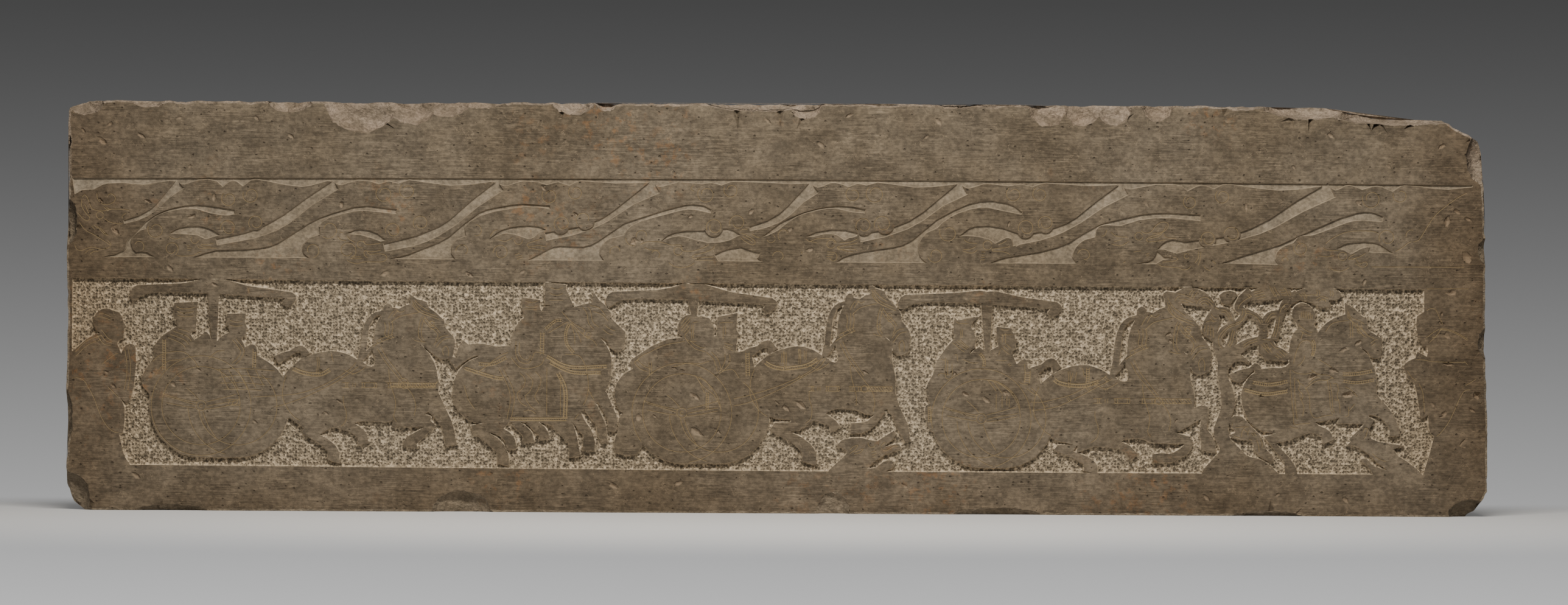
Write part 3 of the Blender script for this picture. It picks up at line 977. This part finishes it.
def wall_point(x, y, z, share):
    """A point of the rough sides, a share of the way from a point of the rim to the back."""
    y += (BACK_Y - y) * share
    bite = 2.0 * wander(x, y, z, 45, 5) + 1.2 * wander(x, y, z, 14, 6)
    bite = max(0.0, bite + 0.8) * min(1.0, 3 * share)
    if share == 1:
        bite += 3
    inward = np.sign(x) * (abs(x) > WALL_END)
    return x - inward * bite, y, z - bite * (z > TOP_EDGE)


def close_block(vertices, ring):
    """Walls from the rim to the back, and the back itself, worn and rough all over."""
    area = sum(vertices[a][0] * vertices[b][2] - vertices[b][0] * vertices[a][2]
               for a, b in around(ring))
    ring = ring[::-1] if area < 0 else ring
    points, polygons, last = [], [], ring
    for row in range(1, WALL_ROWS + 1):
        this = [len(vertices) + len(points) + k for k in range(len(ring))]
        points += [wall_point(*vertices[i], row / WALL_ROWS) for i in ring]
        polygons += [(a, b, d, c) for (a, c), (b, d) in zip(around(last), around(this))]
        last = this
    return polygons + back_faces(points, last, len(vertices)), points


def back_faces(points, last, base):
    """Faces that close the back inside its last row of points; adds their own points."""
    rim = [Vector((points[i - base][0], points[i - base][2])) for i in last]
    count = len(rim)
    hold = tree_of(rim)
    box = (ENDS[0] + 14, ENDS[1] - 14, 12, TOP_Z - 12)
    inner = [Vector((x, z)) for _, x, z in scattered(random.Random(SEED + 1), box, BACK_STEP)
             if hold.find((x, z, 0))[2] > 9]
    links = list(around(list(range(count))))
    flat, _, faces, origins, _, _ = delaunay_2d_cdt(rim + inner, links, [], 1, 0.01, True)
    index = []
    for (x, z), came in zip(flat, origins):
        own = [o for o in came if o < count]
        index.append(last[own[0]] if own else base + len(points))
        if not own:
            bite = 2.2 + 2.2 * wander(x, 0, z, 110, 8) + 1.4 * wander(x, 0, z, 32, 9)
            points.append((x, BACK_Y - max(0.0, bite), z))
    ring = np.array(rim)
    return [tuple(index[i] for i in reversed(face)) for face in faces if max(face) >= count
            or encloses(ring, sum((flat[i] for i in face), Vector((0, 0))) / 3)]


# ---------------------------------------------------------------- shader effects

RUST = (0.26, 0.125, 0.045)


def place_node(tree, kind, inputs=None, **settings):
    """A new node with its settings; an input is linked to a socket or set to a value."""
    node = tree.nodes.new(kind)
    for name, value in settings.items():
        setattr(node, name, value)
    for name, value in (inputs or {}).items():
        if isinstance(value, bpy.types.NodeSocket):
            tree.links.new(value, node.inputs[name])
        else:
            node.inputs[name].default_value = value
    return node


def arithmetic(tree, operation, *numbers):
    return place_node(tree, "ShaderNodeMath", dict(enumerate(numbers)), operation=operation).outputs[0]


def product(tree, a, b, plus=None):
    """a times b, and plus a third where it is given."""
    if plus is None:
        return arithmetic(tree, "MULTIPLY", a, b)
    return arithmetic(tree, "MULTIPLY_ADD", a, b, plus)


def ramp(tree, value, low, high, out_low=0.0, out_high=1.0):
    return place_node(tree, "ShaderNodeMapRange", {
        "Value": value, "From Min": low, "From Max": high, "To Min": out_low,
        "To Max": out_high}, interpolation_type="SMOOTHSTEP").outputs["Result"]


def blend(tree, share, first, second, mode="MIX"):
    """A share of the second colour over the first."""
    first, second = ((*c, 1) if isinstance(c, tuple) else c for c in (first, second))
    return place_node(tree, "ShaderNodeMix", {0: share, 6: first, 7: second},
                      data_type="RGBA", blend_type=mode).outputs[2]


def grey(tree, tone):
    return place_node(tree, "ShaderNodeCombineColor", {0: tone, 1: tone, 2: tone}).outputs[0]


def toned(tree, colour, tone):
    """A colour made darker or paler by a number."""
    return blend(tree, 1.0, colour, grey(tree, tone), "MULTIPLY")


def shaded(colour, share):
    return tuple(c * share for c in colour)


def between(first, second, share):
    return tuple(a * (1 - share) + b * share for a, b in zip(first, second))


def stretched(tree, scale):
    """Object coordinates stretched by a scale along each axis."""
    where = place_node(tree, "ShaderNodeTexCoord").outputs["Object"]
    return place_node(tree, "ShaderNodeVectorMath", {0: where, 1: scale},
                      operation="MULTIPLY").outputs[0]


def object_xyz(tree):
    where = place_node(tree, "ShaderNodeTexCoord").outputs["Object"]
    return place_node(tree, "ShaderNodeSeparateXYZ", {0: where}).outputs


def noise_in(tree, way, size, detail, rough=0.5):
    return place_node(tree, "ShaderNodeTexNoise", {
        "Vector": way, "Scale": size, "Detail": detail, "Roughness": rough}).outputs


def noise_of(tree, scale, detail=4.0, rough=0.55):
    return noise_in(tree, stretched(tree, scale), 1.0, detail, rough)["Fac"]


def mask(tree, name):
    """A mark that the mesh carries, such as groove or arris."""
    return place_node(tree, "ShaderNodeAttribute", attribute_name=name).outputs["Fac"]


def flat_way(tree, across, up, wobble=0.0):
    """Places on the front as a flat pair, across and up, with edges that wobble."""
    x, _, z = object_xyz(tree)
    pair = place_node(tree, "ShaderNodeCombineXYZ", {
        "X": product(tree, x, across), "Y": product(tree, z, up)}).outputs[0]
    sway = noise_in(tree, pair, 1.7, 2.0)["Color"]
    return place_node(tree, "ShaderNodeVectorMath", {0: sway, 1: (wobble, wobble, 0), 2: pair},
                      operation="MULTIPLY_ADD").outputs[0]


def cells_of(tree, way, **inputs):
    """Cells in a plane: how far their middles are, and a number by luck for each."""
    cells = place_node(tree, "ShaderNodeTexVoronoi", {"Vector": way, "Scale": 1.0, **inputs},
                       voronoi_dimensions="2D")
    luck = place_node(tree, "ShaderNodeSeparateColor", {0: cells.outputs["Color"]}).outputs[0]
    return cells.outputs["Distance"], luck


def use_group(tree, build, **inputs):
    """The outputs of a node group, which build fills with nodes when it is first used."""
    group = bpy.data.node_groups.get(build.__name__)
    if group is None:
        group = bpy.data.node_groups.new(build.__name__, "ShaderNodeTree")
        for label in inputs:
            group.interface.new_socket(label, in_out="INPUT", socket_type="NodeSocketFloat")
        made = build(group, group.nodes.new("NodeGroupInput").outputs)
        for label in made:
            group.interface.new_socket(label, in_out="OUTPUT", socket_type="NodeSocketFloat")
        place_node(group, "NodeGroupOutput", made)
    node = tree.nodes.new("ShaderNodeGroup")
    node.node_tree = group
    for label, value in inputs.items():
        node.inputs[label].default_value = value
    return node.outputs


def dressing_strokes(group, _):
    """Fine level strokes of the dressing chisel, dark below 0 and pale above."""
    fine = noise_of(group, (38, 38, 900), detail=3.0, rough=0.65)
    broad = noise_of(group, (21, 21, 330))
    worn = ramp(group, noise_of(group, (14, 14, 22), detail=3.0), 0.35, 0.65, 0.2, 1.0)
    both = arithmetic(group, "ADD", product(group, fine, 0.6), product(group, broad, 0.4))
    stroke = arithmetic(group, "SUBTRACT", ramp(group, both, 0.36, 0.64), 0.5)
    return {"Stroke": product(group, stroke, worn)}


def small_pits(group, given):
    """Scattered small pits of the weathered face: where they are, and their depth."""
    place = place_node(group, "ShaderNodeVectorMath", {
        0: flat_way(group, 1.0, 1.3), "Scale": given["Number"]}, operation="SCALE").outputs[0]
    ragged = noise_in(group, place, 5.0, 3.0)["Fac"]
    distance, luck = cells_of(group, place)
    near = arithmetic(group, "ADD", product(group, arithmetic(group, "POWER", luck, 5.0), -0.2),
                      distance)
    near = product(group, ragged, 0.3, arithmetic(group, "SUBTRACT", near, 0.13))
    return {"Pit": ramp(group, near, 0.0, -0.07), "Depth": ramp(group, near, 0.03, -0.12)}


def stone_grain(group, given):
    """The grain of the stone, from fine specks to broad stains, and its rusty patches."""
    where, level = stretched(group, (1, 1, 1)), stretched(group, (0.75, 1, 1))
    grain = {}
    for label, size, detail, way in (("Specks", 900, 3, where), ("Blotch", 170, 6, level),
                                     ("Mottle", 30, 8, level), ("Stain", 3.2, 5, where)):
        size = product(group, given["Fineness"], size)
        grain[label] = noise_in(group, way, size, detail, 0.68)["Fac"]
    patches = noise_of(group, (5, 5, 5), detail=2.0)
    veins = noise_of(group, (70, 70, 70), detail=5.0, rough=0.7)
    grain["Rust"] = product(group, ramp(group, patches, 0.56, 0.7), ramp(group, veins, 0.52, 0.64))
    return grain


def thin_scratches(group, _):
    """Sparse hair-thin scratches and crusts that wander over the face."""
    lines = []
    for size, width in ((38, 0.007), (75, 0.011)):
        way = noise_in(group, stretched(group, (0.8, 1, 1)), size, 5.0)["Fac"]
        off = arithmetic(group, "ABSOLUTE", arithmetic(group, "SUBTRACT", way, 0.5))
        here = ramp(group, noise_of(group, (size, size, size), detail=2.0), 0.56, 0.64)
        lines.append(product(group, ramp(group, off, width, 0.3 * width), here))
    return {"Line": arithmetic(group, "MAXIMUM", *lines)}


def weathered(tree, base, grain):
    """The base colour with broad stains, mottling and rusty patches."""
    stained = blend(tree, ramp(tree, grain["Stain"], 0.36, 0.66), shaded(base, 0.84),
                    (base[0] * 1.1, base[1] * 1.15, base[2] * 1.24))
    mottle = product(tree, ramp(tree, grain["Mottle"], 0.34, 0.66), 0.46, 0.76)
    blotch = product(tree, ramp(tree, grain["Blotch"], 0.36, 0.64), 0.46, 0.77)
    mottled = toned(tree, stained, product(tree, mottle, blotch))
    return blend(tree, product(tree, grain["Rust"], 0.34), mottled, RUST)


def rim_soil(tree, colour, tone):
    """Darkens the ends and the foot of the slab, where it has been handled and stood in soil."""
    x, _, z = object_xyz(tree)
    ends = ramp(tree, arithmetic(tree, "ABSOLUTE", x), 0.98, 1.2, 0, 0.62)
    foot = ramp(tree, z, 0.14, 0.0, 0, 0.4)
    return blend(tree, arithmetic(tree, "MAXIMUM", ends, foot), colour, tone, "MULTIPLY")


# ---------------------------------------------------------------- materials

# Each paint function gives a colour, a height and how far the height reaches, in metres.

def dressed_stone(tree, settings):
    base = tuple(settings.face_colour)
    grain = use_group(tree, stone_grain, Fineness=1.0)
    stroke = use_group(tree, dressing_strokes)["Stroke"]
    pits = use_group(tree, small_pits, Number=75.0)
    scratch = use_group(tree, thin_scratches)["Line"]
    colour = toned(tree, weathered(tree, base, grain), product(tree, stroke, 0.65, 0.97))
    for share, tone in (
            (ramp(tree, grain["Specks"], 0.58, 0.76, 0, 0.7), shaded(base, 2.1)),
            (product(tree, scratch, 0.4), shaded(base, 2.6)),
            (product(tree, pits["Pit"], 0.7), shaded(base, 0.35)),
            (ramp(tree, mask(tree, "scar"), 0.4, 2.6, 0, 0.7),
             (base[0] * 2.2, base[1] * 2.2, base[2] * 2.3))):
        colour = blend(tree, share, colour, tone)
    colour = rim_soil(tree, colour, (0.72, 0.62, 0.52))
    colour = blend(tree, ramp(tree, mask(tree, "groove"), 0.02, 0.5, 0, 0.72), colour,
                   tuple(settings.line_colour))
    height = product(tree, stroke, 0.5, product(tree, grain["Specks"], 0.5))
    height = product(tree, grain["Blotch"], 1.6, height)
    return colour, product(tree, pits["Depth"], -2.0, height), 0.0009


def pecked_ground(tree, settings):
    base, rows = tuple(settings.ground_colour), 1000 / settings.pit_spacing
    distance, luck = cells_of(tree, flat_way(tree, rows, 0.9 * rows, 0.9), Randomness=0.7)
    ridge = ramp(tree, product(tree, luck, -0.28, distance), -0.1, 0.36)
    sunk = ramp(tree, mask(tree, "sunk"), -0.6, 1.5)
    rough = noise_of(tree, (330, 330, 290), detail=3.0, rough=0.7)
    colour = shaded(base, 0.24)
    for share, tone in ((ridge, 1.3), (product(tree, sunk, 0.6), 0.42),
                        (ramp(tree, rough, 0.5, 0.68, 0, 0.6), 2.0),
                        (ramp(tree, rough, 0.45, 0.32, 0, 0.6), 0.35)):
        colour = blend(tree, share, colour, shaded(base, tone))
    patch = ramp(tree, noise_of(tree, (120, 120, 105), rough=0.6), 0.38, 0.62, 0.5, 1.5)
    stained = weathered(tree, base, use_group(tree, stone_grain, Fineness=1.3))
    colour = blend(tree, 0.2, toned(tree, colour, patch), stained)
    colour = blend(tree, product(tree, mask(tree, "arris"), 0.55), colour, shaded(base, 1.9))
    colour = rim_soil(tree, colour, (0.8, 0.72, 0.62))
    return colour, arithmetic(tree, "ADD", ridge, product(tree, rough, 1.3)), 0.0026


def sunk_ribbon(tree, settings):
    base = between(settings.face_colour, settings.ground_colour, 0.36)
    grain = use_group(tree, stone_grain, Fineness=1.1)
    strokes = noise_of(tree, (330, 40, 90), detail=3.0, rough=0.65)
    colour = blend(tree, ramp(tree, strokes, 0.45, 0.75, 0, 0.35),
                   weathered(tree, base, grain), shaded(base, 1.4))
    colour = blend(tree, product(tree, mask(tree, "arris"), 0.5), colour, shaded(base, 1.9))
    height = product(tree, grain["Blotch"], 1.5, product(tree, grain["Specks"], 0.5))
    return colour, height, 0.0009


def broken_stone(tree, settings):
    fresh, old = tuple(settings.break_colour), shaded(settings.face_colour, 1.7)
    grain = use_group(tree, stone_grain, Fineness=1.6)
    share = product(tree, ramp(tree, object_xyz(tree)[2], 0.45, 0.655),
                    ramp(tree, grain["Mottle"], 0.3, 0.6, 0.3, 1))
    colour = blend(tree, share, weathered(tree, old, grain), weathered(tree, fresh, grain))
    return colour, noise_of(tree, (60, 60, 90), detail=7.0, rough=0.65), 0.012


def rough_stone(tree, settings):
    base = between(settings.face_colour, settings.ground_colour, 0.5)
    grain = use_group(tree, stone_grain, Fineness=0.8)
    strokes = noise_of(tree, (46, 46, 150), detail=6.0, rough=0.62)
    colour = blend(tree, ramp(tree, strokes, 0.42, 0.66, 0, 0.4), weathered(tree, base, grain),
                   shaded(base, 1.4))
    return rim_soil(tree, colour, (0.75, 0.68, 0.6)), strokes, 0.005


# In the order of the kinds of surface: how each is painted, its roughness and its specular level.
LOOKS = ((dressed_stone, 0.82, 0.2), (pecked_ground, 0.9, 0.15), (sunk_ribbon, 0.85, 0.25),
         (broken_stone, 0.88, 0.25), (rough_stone, 0.9, 0.2))


def stone_material(settings, paint, roughness, specular):
    material = bpy.data.materials.new(paint.__name__)
    material.use_nodes = True
    tree = material.node_tree
    shader = tree.nodes["Principled BSDF"]
    shader.inputs["Roughness"].default_value = roughness
    shader.inputs["Specular IOR Level"].default_value = specular
    colour, height, reach = paint(tree, settings)
    tree.links.new(colour, shader.inputs["Base Color"])
    bump = place_node(tree, "ShaderNodeBump", {"Height": height, "Distance": reach, "Strength": 1.0})
    tree.links.new(bump.outputs["Normal"], shader.inputs["Normal"])
    return material


# ---------------------------------------------------------------- operators

class BuildStone(bpy.types.Operator):
    """Carve the slab: face, ground, lines, breaks, sides and back"""

    bl_idname = "relief.build_stone"
    bl_label = "Build the stone"

    def execute(self, context):
        settings = context.scene.relief_stone
        skin = front_skin(Solid(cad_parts[NODE]), settings, incised_lines())
        stone = bpy.data.objects.new("relief_stone", carved_mesh(skin, settings))
        context.scene.collection.objects.link(stone)
        for look in LOOKS:
            stone.data.materials.append(stone_material(settings, *look))
        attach(stone, "root")
        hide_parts(NODE)
        return {"FINISHED"}


class BuildStage(bpy.types.Operator):
    """Set the pale floor, the soft lights and the camera"""

    bl_idname = "relief.build_stage"
    bl_label = "Build the stage"

    def execute(self, context):
        settings = context.scene.relief_stage
        build_floor(settings)
        build_backdrop(context.scene)
        build_lights(context.scene, settings)
        build_camera(context.scene, settings)
        return {"FINISHED"}


# From here on, lengths are in metres.
FLOOR_RADIUS, FLOOR_RINGS, FLOOR_SIDES = 5.0, 24, 96
FLOOR_FADE = (2.6, 1.7)              # where the floor has faded away, across and towards the eye
VIEW_SHARE = 1.101796                # how many slab lengths the view is wide
VIEW_CENTRE = (0.0113, 0.356)        # its x and z


def floor_mesh():
    points, faces = [(0, 0, 0)], []
    for r in range(1, FLOOR_RINGS + 1):
        for s in range(FLOOR_SIDES):
            turn, reach = 2 * math.pi * s / FLOOR_SIDES, FLOOR_RADIUS * r / FLOOR_RINGS
            points.append((reach * math.cos(turn), reach * math.sin(turn), 0))
    for s in range(FLOOR_SIDES):
        after = (s + 1) % FLOOR_SIDES
        faces.append((0, 1 + s, 1 + after))
        for low in range(1, 1 + (FLOOR_RINGS - 1) * FLOOR_SIDES, FLOOR_SIDES):
            high = low + FLOOR_SIDES
            faces.append((low + s, high + s, high + after, low + after))
    mesh = bpy.data.meshes.new("floor")
    mesh.from_pydata(points, [], faces)
    return mesh


def build_floor(settings):
    """A round pale floor that fades away at its edge and behind the slab."""
    floor = bpy.data.objects.new("floor", floor_mesh())
    bpy.context.scene.collection.objects.link(floor)
    material = bpy.data.materials.new("pale_floor")
    material.use_nodes = True
    tree = material.node_tree
    shader = tree.nodes["Principled BSDF"]
    shader.inputs["Base Color"].default_value = (*settings.floor_colour, 1)
    shader.inputs["Roughness"].default_value = 0.9
    x, y, _ = object_xyz(tree)
    across, along = (arithmetic(tree, "DIVIDE", way, far) for way, far in zip((x, y), FLOOR_FADE))
    radius = arithmetic(tree, "SQRT", product(tree, across, across, product(tree, along, along)))
    alpha = product(tree, ramp(tree, radius, 0.3, 1.0, 0.85, 0), ramp(tree, y, 0.1, 0.55, 1, 0))
    tree.links.new(alpha, shader.inputs["Alpha"])
    floor.data.materials.append(material)


def build_backdrop(scene):
    """A grey studio sky, light below and dark above, that lights the stone only softly."""
    world = bpy.data.worlds.new("studio")
    scene.world = world
    world.use_nodes = True
    tree = world.node_tree
    tree.nodes.clear()
    way = place_node(tree, "ShaderNodeTexCoord").outputs["Generated"]
    rise = place_node(tree, "ShaderNodeSeparateXYZ", {0: way}).outputs["Z"]
    level = place_node(tree, "ShaderNodeMapRange", {
        "Value": rise, "From Min": -0.07, "From Max": 0.09, "To Min": -0.26, "To Max": -3.33})
    seen = place_node(tree, "ShaderNodeBackground", {
        "Color": grey(tree, arithmetic(tree, "EXPONENT", level.outputs["Result"]))})
    soft = place_node(tree, "ShaderNodeBackground", {
        "Color": (1.0, 0.97, 0.93, 1), "Strength": 0.1})
    path = place_node(tree, "ShaderNodeLightPath").outputs["Is Camera Ray"]
    both = place_node(tree, "ShaderNodeMixShader", {0: path, 1: soft.outputs[0], 2: seen.outputs[0]})
    place_node(tree, "ShaderNodeOutputWorld", {0: both.outputs[0]})


def build_lights(scene, settings):
    """A raking key from above and a broad soft fill from the front."""
    for name, place, aim, size, power, tint in (
            ("key_light", (0.15, -2.5, 2.8), (0, 0, 0.3), (2.2, 0.2), settings.key_strength,
             (1.0, 0.95, 0.87)),
            ("fill_light", (-0.6, -4.5, 1.6), (0, 0, 0.35), (3.5, 2.0), settings.fill_strength,
             (1.0, 0.97, 0.92))):
        light = bpy.data.lights.new(name, "AREA")
        light.shape, light.energy, light.color = "RECTANGLE", power, tint
        light.size, light.size_y = size
        lamp = bpy.data.objects.new(name, light)
        lamp.location = place
        way = Vector(aim) - Vector(place)
        lamp.rotation_euler = way.to_track_quat("-Z", "Y").to_euler()
        scene.collection.objects.link(lamp)


def build_camera(scene, settings):
    """A level camera in front of the slab, rolled a little as the slab stands in the view."""
    across = VIEW_SHARE * (HIGH.x - LOW.x)
    camera = bpy.data.cameras.new("camera")
    camera.lens, camera.sensor_width = settings.lens, 36
    camera.clip_end = 100
    eye = bpy.data.objects.new("camera", camera)
    eye.location = (VIEW_CENTRE[0], LOW.y - across * settings.lens / camera.sensor_width,
                    VIEW_CENTRE[1])
    eye.rotation_euler = (math.pi / 2, math.radians(-0.3), 0)
    scene.collection.objects.link(eye)
    scene.camera = eye


class ReliefPanel(bpy.types.Panel):
    """Lists the steps of the stone in the sidebar"""

    bl_idname = "VIEW3D_PT_relief_panel"
    bl_label = "Relief Panel"
    bl_space_type = "VIEW_3D"
    bl_region_type = "UI"
    bl_category = "Relief Panel"

    def draw(self, context):
        for settings in (context.scene.relief_stone, context.scene.relief_stage):
            for name in settings.bl_rna.properties.keys():
                if name not in ("rna_type", "name"):
                    self.layout.prop(settings, name)
        for operator in OPERATORS:
            self.layout.operator(operator.bl_idname)


OPERATORS = (BuildStone, BuildStage)
CLASSES = (StoneSettings, StageSettings, *OPERATORS, ReliefPanel)


def register():
    for cls in CLASSES:
        bpy.utils.register_class(cls)
    bpy.types.Scene.relief_stone = bpy.props.PointerProperty(type=StoneSettings)
    bpy.types.Scene.relief_stage = bpy.props.PointerProperty(type=StageSettings)


def unregister():
    del bpy.types.Scene.relief_stone
    del bpy.types.Scene.relief_stage
    for cls in reversed(CLASSES):
        bpy.utils.unregister_class(cls)


def main():
    register()
    bpy.ops.relief.build_stone()
    bpy.ops.relief.build_stage()


if __name__ == "__main__":
    main()
